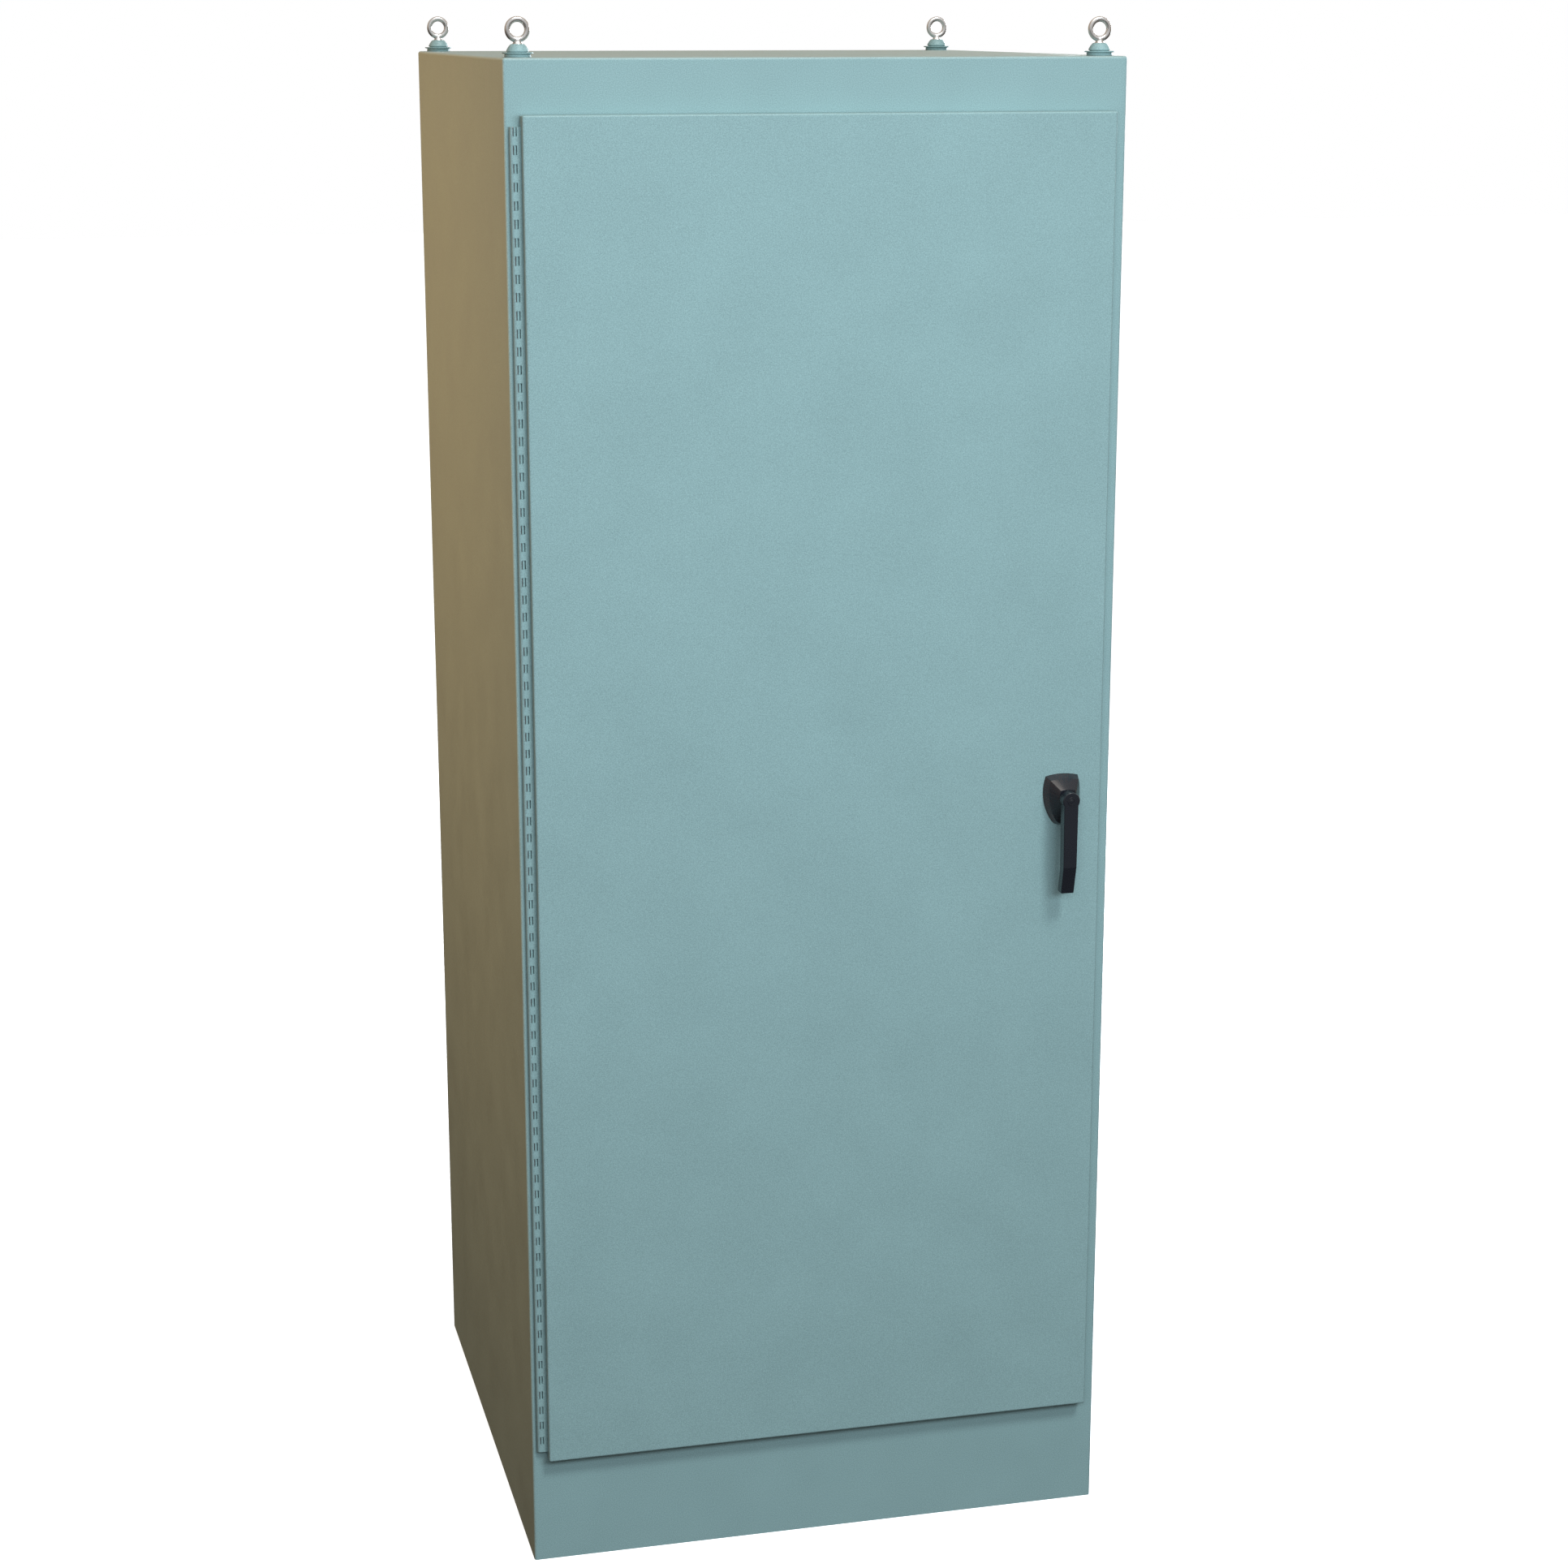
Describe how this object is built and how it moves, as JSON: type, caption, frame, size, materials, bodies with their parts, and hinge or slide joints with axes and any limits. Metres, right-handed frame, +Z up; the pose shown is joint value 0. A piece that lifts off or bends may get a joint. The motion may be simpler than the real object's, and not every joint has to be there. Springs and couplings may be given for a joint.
{
  "type": "free-standing drive enclosure",
  "caption": "Tall free-standing sheet-steel enclosure for motor drives, with a continuous-hinged door, black lever handle with three-point latch, and lifting eyes on the roof.",
  "frame": {"origin": "on the floor, under the middle of the cabinet body", "axes": "+Z up, the door faces -Y, +X to the right of someone who faces the door"},
  "size_m": [0.916, 0.9942, 2.344],
  "materials": {
    "enclosure_paint": "fine-textured powder coat, semi-matt",
    "polished_steel": "forged and polished",
    "zinc_plated_steel": "bright zinc plate",
    "hinge_pin_steel": "drawn steel",
    "panel_white_paint": "white powder coat",
    "gasket_foam": "closed-cell foam, matt",
    "handle_black": "gloss black coating on die-cast metal",
    "roller_nylon": "natural nylon"
  },
  "bodies": {
    "cabinet": {"back_panel": "enclosure_paint", "cabinet_ground_stud": "zinc_plated_steel", "cam_strike": "zinc_plated_steel", "equipment_panel": "panel_white_paint", "eyebolt_bosses": "enclosure_paint", "eyebolt_collars": "enclosure_paint", "eyebolt_front_left": "polished_steel", "eyebolt_front_right": "polished_steel", "eyebolt_nuts": "zinc_plated_steel", "eyebolt_rear_left": "polished_steel", "eyebolt_rear_right": "polished_steel", "eyebolt_washers": "enclosure_paint", "floor_anchor_plates": "enclosure_paint", "floor_panel": "enclosure_paint", "frame_header": "enclosure_paint", "frame_sill": "enclosure_paint", "hinge_frame_leaf": "enclosure_paint", "hinge_pin": "hinge_pin_steel", "left_jamb": "enclosure_paint", "left_side_panel": "enclosure_paint", "left_wall_stiffeners": "enclosure_paint", "lifting_plates": "enclosure_paint", "opening_lip": "enclosure_paint", "panel_nuts": "zinc_plated_steel", "panel_rails": "enclosure_paint", "panel_studs": "zinc_plated_steel", "panel_washers": "zinc_plated_steel", "right_jamb": "enclosure_paint", "right_side_panel": "enclosure_paint", "right_wall_stiffeners": "enclosure_paint", "rod_strikes": "zinc_plated_steel", "roof_panel": "enclosure_paint", "roof_stiffener": "enclosure_paint"},
    "door": {"door_panel": "enclosure_paint", "door_gasket": "gasket_foam", "door_stiffeners": "enclosure_paint", "print_pocket": "enclosure_paint", "door_ground_stud": "zinc_plated_steel", "hinge_door_leaf": "enclosure_paint", "handle_base": "handle_black", "handle_base_gasket": "gasket_foam", "handle_base_screws": "zinc_plated_steel", "latch_bracket": "zinc_plated_steel", "rod_guides": "zinc_plated_steel"},
    "handle": {"handle_lever": "handle_black", "lever_cap": "handle_black", "handle_spindle": "zinc_plated_steel", "latch_cam": "zinc_plated_steel", "cam_pins": "zinc_plated_steel", "spindle_nut": "zinc_plated_steel"},
    "top_rod": {"top_rod": "zinc_plated_steel", "top_roller_axle": "zinc_plated_steel"},
    "bottom_rod": {"bottom_rod": "zinc_plated_steel", "bottom_roller_axle": "zinc_plated_steel"},
    "top_roller": {"top_roller": "roller_nylon"},
    "bottom_roller": {"bottom_roller": "roller_nylon"}
  },
  "joints": [
    {"name": "door_hinge", "type": "hinge", "parent": "cabinet", "child": "door", "pos_m": [-0.4467, -0.4645, 1.19], "axis": [0, 0, -1], "range_deg": [0, 170]},
    {"name": "handle_turn", "type": "hinge", "parent": "door", "child": "handle", "pos_m": [0.3725, -0.4844, 1.1935], "axis": [0, 1, 0], "range_deg": [0, 90]},
    {"name": "top_rod_slide", "type": "slide", "parent": "door", "child": "top_rod", "axis": [0, 0, -1], "range_m": [0, 0.0355]},
    {"name": "bottom_rod_slide", "type": "slide", "parent": "door", "child": "bottom_rod", "axis": [0, 0, 1], "range_m": [0, 0.0355]},
    {"name": "top_roller_spin", "type": "hinge", "parent": "top_rod", "child": "top_roller", "pos_m": [0.39384, -0.4439, 2.2005], "axis": [1, 0, 0], "continuous": true},
    {"name": "bottom_roller_spin", "type": "hinge", "parent": "bottom_rod", "child": "bottom_roller", "pos_m": [0.35116, -0.4439, 0.1865], "axis": [1, 0, 0], "continuous": true}
  ],
  "couplings": [
    {"joint": "top_rod_slide", "follows": "handle_turn", "m_per_rad": 0.022508},
    {"joint": "bottom_rod_slide", "follows": "handle_turn", "m_per_rad": 0.022508}
  ]
}
